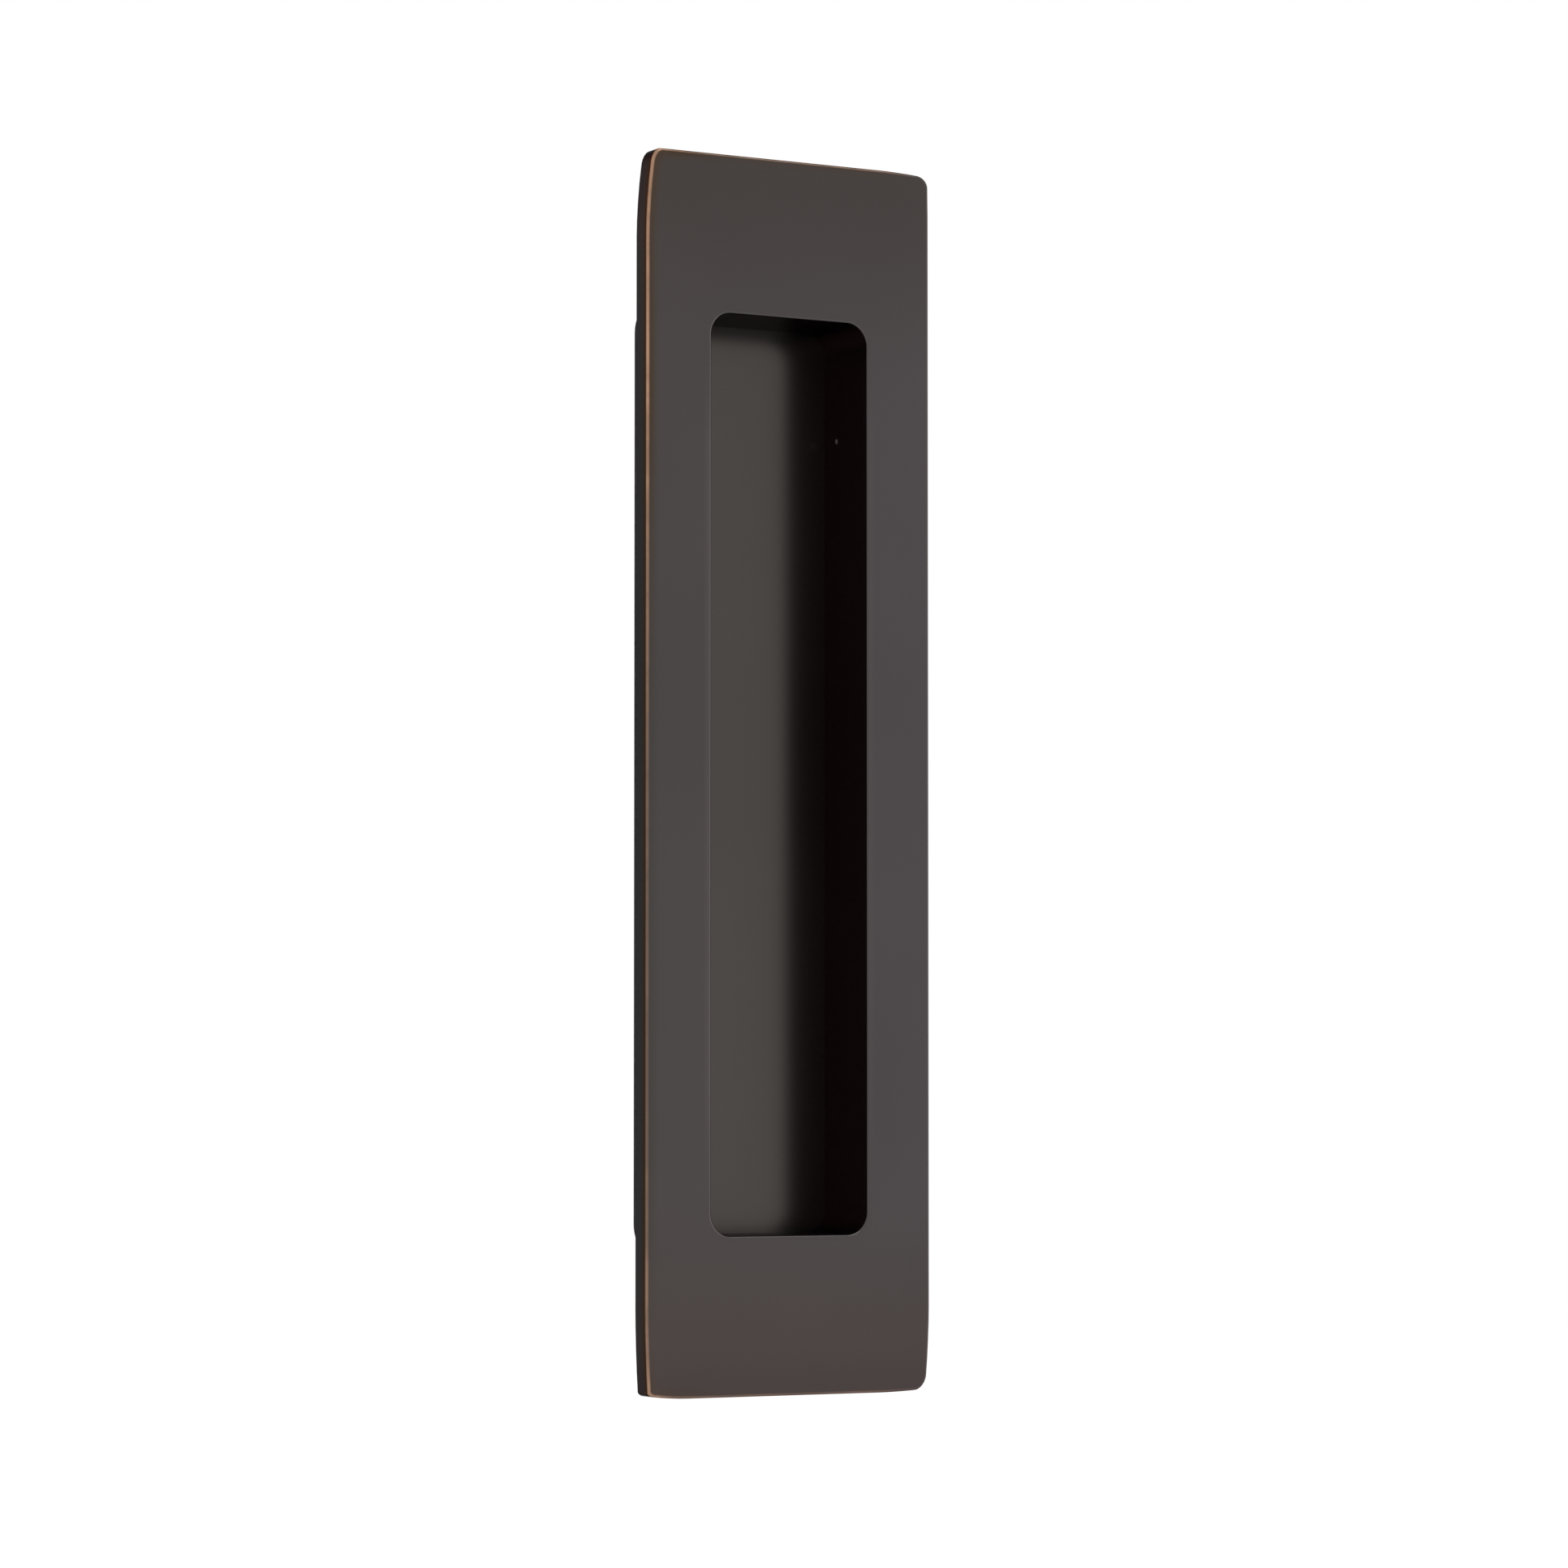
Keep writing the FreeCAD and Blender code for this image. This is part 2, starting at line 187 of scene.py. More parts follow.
def plate_outline(bm, y, inset=0.0):
    """The plate's outline at depth y, drawn in on all sides by inset."""
    points = []
    for (sx, sz), *sizes in POLISHED_CORNERS:
        sizes = [size * MM for size in sizes]
        corner = corner_points(PLATE_WIDTH / 2 - inset, PLATE_HEIGHT / 2 - inset, *sizes)
        turned = [(sx * x, sz * z, reach, steps) for x, z, reach, steps in corner]
        points += turned if sx * sz > 0 else turned[::-1]
    before = set(bm.faces)
    face = flat_face(bm, [point[:2] for point in points], y)
    for vert, (_, _, reach, steps) in zip(list(face.verts), points):
        round_points(bm, [vert], reach, steps)
    (rounded,) = [face for face in bm.faces if face not in before]
    return outline_edges(bm, rounded)


# %% [markdown]
# The casting
#
# The skin of the casting is one closed strip: recess floor, recess wall, front face, plate
# edge, seat, cup wall, cup back. Six edges carry it, and bridging each outline to the next
# makes the strip. A bridge finds out which way round two loops run from the line between their
# centres, and two outlines in one plane with one centre have no such line. So the outlines are
# first stacked apart, like a telescope that is drawn out, then bridged, and then pushed home to
# their true depths.
#
# Two more outlines lie on the front face, one round the opening and one a little inside the
# plate's edge. They bend nothing, so they have no radius: they are where the painted highlight
# on the rim and the brown halo of the edge come to an end.
#
# Last, each outline is bevelled by the radius that the real edge has. The softest is the back
# of the cup, as the sand mould leaves it. The foot of the recess is cut with a square mill and
# its root is too small to catch light, so it gets no bevel and is left sharp.

# %% Outlines of the casting, stacked apart
STACK_STEP = 20.0 * MM
HALO_WIDTH = 2.0 * MM
LIP_WIDTH = 1.4 * MM
WIDER_BY = {"recess_foot": 0.0, "rolled_rim": 0.0, "lip_highlight_end": LIP_WIDTH}
OUTLINES = (
    # name, depth, radius of the finished edge, segments of its round
    ("recess_foot", RECESS_FLOOR_Y, 0.0, 0),
    ("rolled_rim", FRONT_Y, 0.4 * MM, 5),
    ("lip_highlight_end", FRONT_Y, 0.0, 0),
    ("halo_end", FRONT_Y, 0.0, 0),
    ("front_edge", FRONT_Y, 0.45 * MM, 6),
    ("seat_edge", SEAT_Y, 0.25 * MM, 3),
    ("cup_foot", SEAT_Y, 0.6 * MM, 4),
    ("cup_back", CUP_BACK_Y, 1.6 * MM, 8),
)
EDGE_RADIUS = {name: radius for name, _, radius, _ in OUTLINES}
print("outlines:", ", ".join(EDGE_RADIUS))


def draw_outline(bm, name, y):
    """One of the outlines, by name, as loose edges at depth y."""
    if name in ("front_edge", "seat_edge"):
        return plate_outline(bm, y)
    if name == "halo_end":
        return plate_outline(bm, y, HALO_WIDTH)
    if name in WIDER_BY:
        wider = WIDER_BY[name]
        width, height = OPENING_WIDTH + 2 * wider, OPENING_HEIGHT + 2 * wider
        return box_outline(bm, width, height, OPENING_CORNER + wider, y)
    drawn_in = (CUP_BACK_Y - SEAT_Y) * math.tan(CUP_DRAFT) if name == "cup_back" else 0.0
    width = OPENING_WIDTH + 2 * CUP_WALL - 2 * drawn_in
    height = OPENING_HEIGHT + 2 * CUP_WALL - 2 * drawn_in
    return box_outline(bm, width, height, CUP_CORNER - drawn_in, y)


# %% Bridge, push home and round the edges
SHARP_FROM = math.radians(60)
MERGE_WITHIN = 0.002 * MM


def round_outline(bm, mark, layer, radius, steps):
    """Bevels the edges that carry this mark."""
    bmesh.ops.bevel(
        bm,
        geom=[edge for edge in bm.edges if edge[layer] == mark],
        offset=radius,
        offset_type="OFFSET",
        affect="EDGES",
        segments=steps,
        profile=0.5,
        material=-1,
        loop_slide=True,
    )


def finished_object(name, bm):
    """Merges doubles, turns the faces outwards and hands over a smooth shaded object."""
    bmesh.ops.remove_doubles(bm, verts=bm.verts, dist=MERGE_WITHIN)
    bmesh.ops.recalc_face_normals(bm, faces=bm.faces)
    for face in bm.faces:
        face.smooth = True
    for edge in bm.edges:
        edge.smooth = edge.calc_face_angle(0) < SHARP_FROM
    mesh = bpy.data.meshes.new(name)
    bm.to_mesh(mesh)
    bm.free()
    piece = bpy.data.objects.new(name, mesh)
    bpy.context.scene.collection.objects.link(piece)
    return piece


def make_casting():
    """The closed skin of the casting, from its outlines."""
    bm = bmesh.new()
    layer = bm.edges.layers.int.new("outline")
    loops = []
    for mark, (name, _, _, _) in enumerate(OUTLINES, start=1):
        loops.append(draw_outline(bm, name, mark * STACK_STEP))
        for edge in loops[-1]:
            edge[layer] = mark
    for here, after in zip(loops, loops[1:]):
        bmesh.ops.bridge_loops(bm, edges=here + after)
    for mark, (name, depth, _, _) in enumerate(OUTLINES, start=1):
        ring = {vert for edge in loops[mark - 1] for vert in edge.verts}
        bmesh.ops.translate(bm, verts=list(ring), vec=(0, depth - mark * STACK_STEP, 0))
    bmesh.ops.contextual_create(bm, geom=loops[0])
    bmesh.ops.contextual_create(bm, geom=loops[-1])
    bmesh.ops.recalc_face_normals(bm, faces=bm.faces)
    for mark, (_, _, radius, steps) in enumerate(OUTLINES, start=1):
        if steps:
            round_outline(bm, mark, layer, radius, steps)
    return finished_object("pull_casting", bm)


casting = make_casting()
print("casting:", len(casting.data.vertices), "points,", len(casting.data.polygons), "faces")

# %% [markdown]
# Where each finish lies
#
# Oil-rubbed bronze is sold with its edges already rubbed back to copper and a brown halo beside
# them, where the patina is only thinned. A highlight is painted along the lip of the opening.
# The outside of the cup is never machined and keeps the grain of the sand mould. A mask worked
# out from light or camera would slide when the pull is turned, so the mesh itself carries these
# places, as attributes.
#
# rubbed is 1 on the middle of the plate's rounded edge and 0 where the round meets a flat face.
# halo is 1 on the whole round and lip, which carries the painted highlight, is 1 where the
# opening's rim begins, and both fade to 0 at the outlines laid beside them. cast_skin is 1 on
# the outside of the cup. recess_wall lies on faces and not on points, because it ends hard at
# the recess floor.

# %% Mark the finishes on the mesh
SURFACE_MARKS = ("rubbed", "halo", "lip", "cast_skin")
WALL_MARK = "recess_wall"
HAIR = 0.01 * MM
EDGE_BAND = 1.8 * MM
LIP_BAND = 1.2 * MM
RECESS_BAND = 1.0 * MM
SKIN_FROM_Y = SEAT_Y + 0.5 * MM
WALL_FROM_Y = FRONT_Y + 0.5 * MM
RUB_SPREAD = 0.6


def lies_outside(point, half_width, half_height):
    """True where a point lies outside a rectangle round the pull's axis."""
    return abs(point.x) > half_width or abs(point.z) > half_height


def mark_points(mesh):
    """Writes rubbed, halo, lip and cast_skin."""
    for name in SURFACE_MARKS:
        mesh.attributes.new(name, "FLOAT", "POINT")
    marks = [mesh.attributes[name].data for name in SURFACE_MARKS]
    edge_radius = EDGE_RADIUS["front_edge"]
    edge = PLATE_WIDTH / 2 - EDGE_BAND, PLATE_HEIGHT / 2 - EDGE_BAND
    rim = OPENING_WIDTH / 2 + LIP_BAND, OPENING_HEIGHT / 2 + LIP_BAND
    recess = OPENING_WIDTH / 2 + RECESS_BAND, OPENING_HEIGHT / 2 + RECESS_BAND
    for vertex, rubbed, halo, lip, cast_skin in zip(mesh.vertices, *marks):
        depth = vertex.co.y - FRONT_Y
        if lies_outside(vertex.co, *edge) and depth < edge_radius + HAIR:
            turned = math.acos(min(1.0, max(0.0, 1 - depth / edge_radius)))
            rubbed.value = max(0.0, math.sin(2 * turned)) ** RUB_SPREAD
            halo.value = 1.0
        # lip marks the rim of the opening, where a highlight is painted.
        if not lies_outside(vertex.co, *rim) and depth < HAIR:
            lip.value = 1.0
        if vertex.co.y > SKIN_FROM_Y and lies_outside(vertex.co, *recess):
            cast_skin.value = 1.0


def mark_walls(mesh):
    """Writes recess_wall, on the faces between the rim and the floor of the recess."""
    marks = mesh.attributes.new(WALL_MARK, "FLOAT", "FACE").data
    recess = OPENING_WIDTH / 2 + RECESS_BAND, OPENING_HEIGHT / 2 + RECESS_BAND
    for face, inside in zip(mesh.polygons, marks):
        deep = WALL_FROM_Y < face.center.y < RECESS_FLOOR_Y - HAIR
        if deep and not lies_outside(face.center, *recess):
            inside.value = 1.0


mark_points(casting.data)
mark_walls(casting.data)
casting.data.update()
for name in (*SURFACE_MARKS, WALL_MARK):
    marked = sum(place.value > 0 for place in casting.data.attributes[name].data)
    print(f"{name}: on {marked} {'faces' if name == WALL_MARK else 'points'}")

# %% [markdown]
# Flat faces next to rounds
#
# Smooth shading blends normals across each point, and on a large flat face next to a small
# round that shows as a grey smear. A Weighted Normal modifier lets the large face decide, so
# flats stay flat and only the rounds turn the light. On the casting it also keeps the sharp
# foot of the recess.

# %% Keep the flats flat
def let_flats_lead(piece, keep_sharp=False):
    """Gives the large faces the last word on shading."""
    weighted = piece.modifiers.new("flat_faces_lead", "WEIGHTED_NORMAL")
    weighted.mode = "FACE_AREA"
    weighted.weight = 100
    weighted.keep_sharp = keep_sharp


let_flats_lead(casting, keep_sharp=True)
print("modifiers on the casting:", [modifier.name for modifier in casting.modifiers])

# %% [markdown]
# The fixing posts
#
# Each post is a bar turned on a lathe, parted off with a chamfer, drilled and tapped M4, and
# brazed into a blind socket in the plate. Turning is a spin of half a section. The thread is a
# helix: a small triangle that is spun and moved along at the same time, one pitch a turn, with
# its base sunk in the wall of the hole. A screw texture would be cheaper, but the thread
# catches light as real ridges do.

# %% Sizes of the posts
POST_STEPS = 48
post_low, post_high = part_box("fixing_post_upper")
POST_RADIUS = (post_high.x - post_low.x) / 2
POST_HEIGHT = (post_high.z + post_low.z) / 2
POST_END_Y = post_high.y
POST_ROOT_Y = post_low.y
POST_CHAMFER = 0.6 * MM
POST_AXIS = Vector((0, 1, 0))
DULLED_EDGE = 0.08 * MM
DULLED_FROM = math.radians(30)

THREAD_CREST = 1.65 * MM
THREAD_ROOT = 2.0 * MM
THREAD_PITCH = 0.7 * MM
THREAD_SUNK = 0.06 * MM
BORE_BOTTOM_Y = POST_END_Y - 12.4 * MM
DRILL_HALF_ANGLE = math.radians(59)
MOUTH_RADIUS = 2.15 * MM
print(f"posts {2 * POST_RADIUS / MM:.1f} mm thick at z = +-{POST_HEIGHT / MM:.2f} mm")


# %% Turned post
def spin_section(bm, points, centre, steps):
    """Turns a section of (radius, y) points round the post's axis."""
    verts = [bm.verts.new((centre.x + radius, y, centre.z)) for radius, y in points]
    edges = [bm.edges.new(pair) for pair in zip(verts, verts[1:])]
    bmesh.ops.spin(
        bm,
        geom=verts + edges,
        cent=centre,
        axis=POST_AXIS,
        angle=2 * math.pi,
        steps=steps,
        use_merge=True,
    )


def make_post(name, centre):
    """A bar with a chamfered end, drilled and countersunk."""
    bm = bmesh.new()
    drill_tip = BORE_BOTTOM_Y - THREAD_ROOT / math.tan(DRILL_HALF_ANGLE)
    section = (
        (0, POST_ROOT_Y),
        (POST_RADIUS, POST_ROOT_Y),
        (POST_RADIUS, POST_END_Y - POST_CHAMFER),
        (POST_RADIUS - POST_CHAMFER, POST_END_Y),
        (MOUTH_RADIUS, POST_END_Y),
        (THREAD_ROOT, POST_END_Y - (MOUTH_RADIUS - THREAD_ROOT)),
        (THREAD_ROOT, BORE_BOTTOM_Y),
        (0, drill_tip),
    )
    spin_section(bm, section, centre, POST_STEPS)
    bmesh.ops.remove_doubles(bm, verts=bm.verts, dist=MERGE_WITHIN)
    sharp = [edge for edge in bm.edges if edge.calc_face_angle(0) > DULLED_FROM]
    bmesh.ops.bevel(
        bm,
        geom=sharp,
        offset=DULLED_EDGE,
        offset_type="OFFSET",
        affect="EDGES",
        segments=2,
        profile=0.5,
        material=-1,
    )
    post = finished_object(name, bm)
    let_flats_lead(post)
    return post


# %% Thread and brazing
def make_thread(name, centre):
    """The ridge of an M4 thread inside one post. Its base is a little narrower than the pitch,
    so that the turns don't touch."""
    bm = bmesh.new()
    half_base = 0.44 * THREAD_PITCH
    half_crest = THREAD_PITCH / 8
    length = POST_END_Y - MOUTH_RADIUS + THREAD_ROOT - BORE_BOTTOM_Y
    turns = math.floor(length / THREAD_PITCH) - 2
    start = BORE_BOTTOM_Y + THREAD_PITCH
    profile = (
        (THREAD_ROOT + THREAD_SUNK, start - half_base),
        (THREAD_CREST, start - half_crest),
        (THREAD_CREST, start + half_crest),
        (THREAD_ROOT + THREAD_SUNK, start + half_base),
    )
    verts = [bm.verts.new((centre.x + radius, y, centre.z)) for radius, y in profile]
    face = bm.faces.new(verts)
    steps = turns * POST_STEPS // 2
    bmesh.ops.spin(
        bm,
        geom=[face],
        cent=centre,
        axis=POST_AXIS,
        dvec=POST_AXIS * (turns * THREAD_PITCH / steps),
        angle=2 * math.pi * turns,
        steps=steps,
        use_merge=False,
    )
    return finished_object(name, bm)


def make_braze(name, centre):
    """The thin hollow fillet that the brazing filler leaves round the foot of a post."""
    bm = bmesh.new()
    reach = 0.5 * MM
    hollow = 0.17 * MM
    lip = 0.02 * MM
    section = (
        (POST_RADIUS - hollow, SEAT_Y - hollow),
        (POST_RADIUS - hollow, SEAT_Y + reach),
        (POST_RADIUS + lip, SEAT_Y + reach),
        (POST_RADIUS + hollow, SEAT_Y + hollow),
        (POST_RADIUS + reach, SEAT_Y + lip),
        (POST_RADIUS + reach, SEAT_Y - hollow),
        (POST_RADIUS - hollow, SEAT_Y - hollow),
    )
    spin_section(bm, section, centre, POST_STEPS)
    return finished_object(name, bm)


# %% Both posts
posts = {}
for where, side in (("upper", 1), ("lower", -1)):
    centre = Vector((0, 0, side * POST_HEIGHT))
    posts[where] = (
        make_post(f"turned_post_{where}", centre),
        make_thread(f"post_thread_{where}", centre),
        make_braze(f"braze_ring_{where}", centre),
    )
    print(where, "post:", [len(piece.data.polygons) for piece in posts[where]], "faces")

# %% [markdown]
# Nodes and colours
#
# Two small helpers serve every finish. One turns a colour as a painter writes it, in sRGB hex,
# into the linear numbers that Blender calculates with. The other adds a node, sets it and links
# its inputs in one call, so that a material reads from top to bottom.

# %% Helpers for materials
def linear(hex_colour):
    """An sRGB hex colour as linear RGBA."""
    values = [int(hex_colour[i : i + 2], 16) / 255 for i in (1, 3, 5)]
    return [v / 12.92 if v <= 0.04045 else ((v + 0.055) / 1.055) ** 2.4 for v in values] + [1.0]


def add_node(tree, kind, settings=None, **inputs):
    """Adds a node. An input is named with underscores for its spaces, or i0, i1 and so on by
    its place, and is given a value or the socket of another node."""
    node = tree.nodes.new(kind)
    for name, value in (settings or {}).items():
        setattr(node, name, value)
    for name, value in inputs.items():
        by_place = name[0] == "i" and name[1:].isdigit()
        socket = node.inputs[int(name[1:]) if by_place else name.replace("_", " ")]
        if isinstance(value, bpy.types.NodeSocket):
            tree.links.new(value, socket)
        else:
            socket.default_value = value
    return node


def new_material(name):
    """An empty material and its node tree."""
    material = bpy.data.materials.new(name)
    material.use_nodes = True
    material.node_tree.nodes.clear()
    return material, material.node_tree


print("mid grey in linear numbers:", [round(value, 3) for value in linear("#808080")])

# %% [markdown]
# Oil-rubbed bronze
#
# The metal is brass, but what the eye meets is its patina: a sulphide layer, blacked in a bath,
# then brushed and oiled. It is dark, warm grey and still metallic, so it gets a metallic shader
# with a dark colour rather than a paint. The oil leaves it satin, with a roughness between 0.22
# and 0.25: soft reflections, and still the recess floor mirrors the wall beside it. At a low
# angle a plain metal turns white and a patina doesn't, so the specular tint, which colours that
# low gloss, is dark too.
#
# The finish is put together in the order in which it is made: the patina's tones with some
# painted shade, then what lightens and darkens them with a painted highlight on the lip, then
# the brown halo, and last the bare copper.

# %% [markdown]
# Patterns of the bronze
#
# Four noise patterns serve the finish. Slow clouds come from the bath. Patches break the copper
# line, because no hand rubs evenly. The grain is the brush's: its scratches lie a tenth of a
# millimetre or less apart and are drawn three times as coarse, so that they can show. The sand
# is the grain of the mould, about 0.3 mm, drawn at 0.8 mm for the same reason.
#
# Wear and the painted highlight on the lip also change slowly across the pull. Those changes
# are straight fades along one axis, kept in one table, so that each can be read and set as a
# length.

# %% Patterns and fades
SMOOTH = {"interpolation_type": "SMOOTHSTEP"}
BRONZE_PATTERNS = {
    # name: size of its spots in mm, octaves of detail, strength of each octave against the last
    "cloud": (45, 3.0, 0.5),
    "grain": (0.35, 2.0, 0.6),
    "patch": (9, 4.0, 0.65),
    "sand": (0.8, 2.0, 0.6),
}
BRONZE_FADES = {
    # name: along what, where it starts and ends in mm, the share before and after
    "lip_highlight_on_long_sides": ("height", 45, 62, 1.0, 0.0),
    "lip_highlight_from_left": ("X", -10, 10, 0.2, 0.1),
    "wear_from_left": ("X", 14, 23, 1.0, 0.15),
    "halo_from_left": ("X", -19, -10, 1.0, 0.35),
    "halo_above_foot": ("Z", -80, -60, 0.35, 1.0),
    "copper_from_left": ("X", -23.2, -19, 1.0, 0.35),
}


def bronze_patterns(tree, place):
    """The noise patterns of the bronze, by name."""
    patterns = {}
    for name, (size, detail, strength) in BRONZE_PATTERNS.items():
        patterns[name] = add_node(
            tree,
            "ShaderNodeTexNoise",
            Vector=place,
            Scale=1 / (size * MM),
            Detail=detail,
            Roughness=strength,
        ).outputs["Fac"]
    return patterns


def bronze_fades(tree, axes):
    """The slow changes across the pull, by name. height is the distance from its middle."""
    height = add_node(
        tree, "ShaderNodeMath", {"operation": "ABSOLUTE"}, i0=axes["Z"]
    ).outputs[0]
    along = {"X": axes["X"], "Z": axes["Z"], "height": height}
    fades = {}
    for name, (axis, start, end, before, after) in BRONZE_FADES.items():
        fades[name] = add_node(
            tree,
            "ShaderNodeMapRange",
            SMOOTH,
            Value=along[axis],
            From_Min=start * MM,
            From_Max=end * MM,
            To_Min=before,
            To_Max=after,
        ).outputs[0]
    return fades


print(len(BRONZE_PATTERNS), "patterns and", len(BRONZE_FADES), "fades")

# %% [markdown]
# The patina's tones and painted shade
#
# The patina is paler and a little violet to the right and browner at its foot. Its top is
# painted darker and browner, as shade where less light falls from above, and the strip along
# its left edge is painted darker as shade too. What lies deep, the floor of the recess and the
# cup, is a little warmer, and the walls of the recess are the brownest, as no brush reaches
# them. Each tone is mixed into the ones before it, from where it begins to where it is full.

# %% Tones and painted shade
PATINA = "#4B4746"
WALL_BROWN = "#46383A"
TONES_AND_PAINTED_SHADE = (
    # axis, where the tone begins and where it is full in mm, its share there, the tone
    ("X", -24, 24, 1.0, "#4D494A"),
    # painted shade along the left edge
    ("X", -21.5, -23.4, 0.7, "#434140"),
    # painted shade on the top, where less light falls from above
    ("Z", 58, 90, 0.95, "#46413F"),
    ("Z", -60, -85, 0.8, "#4B4341"),
    ("Z", -82, -90, 0.6, "#453E3D"),
    ("Y", 4, 8, 0.5, "#4B4843"),
)
print("tones of the patina:", PATINA, *[tone for *_, tone in TONES_AND_PAINTED_SHADE], WALL_BROWN)


def patina_tones_and_painted_shade(tree, axes, recess_wall):
    """The colour of the patina from place to place, with painted shade on the top and along the
    left edge.
    """
    patina = linear(PATINA)
    for axis, start, full, share, tone in TONES_AND_PAINTED_SHADE:
        reach = add_node(
            tree,
            "ShaderNodeMapRange",
            SMOOTH,
            Value=axes[axis],
            From_Min=start * MM,
            From_Max=full * MM,
            To_Max=share,
        ).outputs[0]
        patina = add_node(
            tree, "ShaderNodeMix", {"data_type": "RGBA"}, i0=reach, i6=patina, i7=linear(tone)
        ).outputs[2]
    return add_node(
        tree,
        "ShaderNodeMix",
        {"data_type": "RGBA"},
        i0=recess_wall,
        i6=patina,
        i7=linear(WALL_BROWN),
    ).outputs[2]


# %% Shades and the painted lip highlight
def shades_and_lip_highlight(tree, patina, patterns, fades, marks):
    """Paints a highlight on the lip, clouds the whole plate and darkens the pits of the cast
    skin.
    """
    # A highlight is painted on the lip: the rim of the opening is lightened, twice as much on
    # the left as on the right, fading out towards the ends.
    value = marks["lip"]
    for limit in (fades["lip_highlight_on_long_sides"], fades["lip_highlight_from_left"]):
        value = add_node(
            tree, "ShaderNodeMath", {"operation": "MULTIPLY"}, i0=value, i1=limit
        ).outputs[0]
    clouds = add_node(
        tree,
        "ShaderNodeMapRange",
        Value=patterns["cloud"],
        From_Min=0.3,
        From_Max=0.7,
        To_Min=0.96,
        To_Max=1.04,
    ).outputs[0]
    pits = add_node(
        tree,
        "ShaderNodeMapRange",
        Value=patterns["sand"],
        From_Min=0.3,
        From_Max=0.6,
        To_Min=-0.22,
        To_Max=0.04,
    ).outputs[0]
    pits = add_node(
        tree, "ShaderNodeMath", {"operation": "MULTIPLY"}, i0=pits, i1=marks["cast_skin"]
    ).outputs[0]
    for change in (clouds, pits):
        value = add_node(
            tree, "ShaderNodeMath", {"operation": "ADD"}, i0=value, i1=change
        ).outputs[0]
    return add_node(tree, "ShaderNodeHueSaturation", Color=patina, Value=value).outputs[0]


# %% [markdown]
# The rubbed edge
#
# Rubbing goes through the patina in steps. Beside the edge it is only thinned and lets a brown
# halo through, and on the round itself the copper colour lies bare. How hard the edge was
# rubbed changes along it: well towards the top, little below the middle, and hardest at the
# very foot. A colour ramp over the height holds those strengths as greys.

# %% Rub along the edge
RUB_ALONG_EDGE = (
    # height on the plate in mm, how far the edge is rubbed there
    (-90.5, 0.5),
    (-89, 0.9),
    (-84, 0.44),
    (-64, 0.29),
    (-20, 0.22),
    (4, 0.24),
    (24, 0.44),
    (54, 0.74),
    (78, 0.63),
    (90, 0.66),
)
print("rubbed hardest at", max(RUB_ALONG_EDGE, key=lambda stop: stop[1])[0], "mm")


def rub_by_height(tree, height):
    """How far the edge is rubbed at each height."""
    lowest, highest = RUB_ALONG_EDGE[0][0] * MM, RUB_ALONG_EDGE[-1][0] * MM
    along = add_node(
        tree, "ShaderNodeMapRange", Value=height, From_Min=lowest, From_Max=highest
    ).outputs[0]
    ramp = add_node(tree, "ShaderNodeValToRGB", Fac=along)
    stops = ramp.color_ramp.elements
    for place, _ in RUB_ALONG_EDGE[1:-1]:
        stops.new((place * MM - lowest) / (highest - lowest))
    for stop, (_, strength) in zip(stops, RUB_ALONG_EDGE):
        stop.color = (strength, strength, strength, 1.0)
    return ramp.outputs["Color"]


# %% Brown halos
HALO_BROWN = "#443424"
SIDE_BROWN = "#4D3827"
print("halo:", HALO_BROWN, "side:", SIDE_BROWN)


def brown_halos(tree, patina, depth, halo, rub, fades):
    """The thinned patina, on the front beside the edge and on the side of the plate."""
    on_side = add_node(
        tree,
        "ShaderNodeMapRange",
        Value=depth,
        From_Min=FRONT_Y + 0.15 * MM,
        From_Max=FRONT_Y + 0.4 * MM,
    ).outputs[0]
    on_front = add_node(
        tree, "ShaderNodeMath", {"operation": "SUBTRACT"}, i0=1.0, i1=on_side
    ).outputs[0]
    across = fades["halo_from_left"], fades["wear_from_left"], fades["halo_above_foot"]
    halos = (
        # how fast it fades, what limits it and how strong it is, its colour
        (1.5, (rub, rub, *across, on_front, 1.7), HALO_BROWN),
        (4.0, (on_side, 0.95), SIDE_BROWN),
    )
    for fade, limits, brown in halos:
        share = add_node(
            tree, "ShaderNodeMath", {"operation": "POWER"}, i0=halo, i1=fade
        ).outputs[0]
        for limit in limits:
            share = add_node(
                tree, "ShaderNodeMath", {"operation": "MULTIPLY"}, i0=share, i1=limit
            ).outputs[0]
        patina = add_node(
            tree, "ShaderNodeMix", {"data_type": "RGBA"}, i0=share, i6=patina, i7=linear(brown)
        ).outputs[2]
    return patina


# %% Bare copper
COPPER = "#C0987F"
print("copper:", COPPER)


def bare_copper(tree, patina, patch, rubbed, rub, fades):
    """The copper line on the round of the edge, broken into patches."""
    patches = add_node(
        tree,
        "ShaderNodeMapRange",
        SMOOTH,
        Value=patch,
        From_Min=0.35,
        From_Max=0.62,
        To_Min=0.7,
        To_Max=1.15,
    ).outputs[0]
    for limit in (rub, patches, fades["copper_from_left"], fades["wear_from_left"]):
        rubbed = add_node(
            tree, "ShaderNodeMath", {"operation": "MULTIPLY"}, i0=rubbed, i1=limit
        ).outputs[0]
    return add_node(
        tree, "ShaderNodeMix", {"data_type": "RGBA"}, i0=rubbed, i6=patina, i7=linear(COPPER)
    ).outputs[2]


# %% [markdown]
# Gloss, grain and one pale fleck
#
# The clouds that change the tone change the gloss too. The bump is almost nothing on the
# brushed front, a fiftieth of full strength. On the cast skin it is full, and the skin is
# duller by a good tenth in roughness. High on the right wall of the recess sits one pale
# fleck, a little under a millimetre wide and less metallic than the patina round it. It is a
# distance from a point, so it stays in its place.

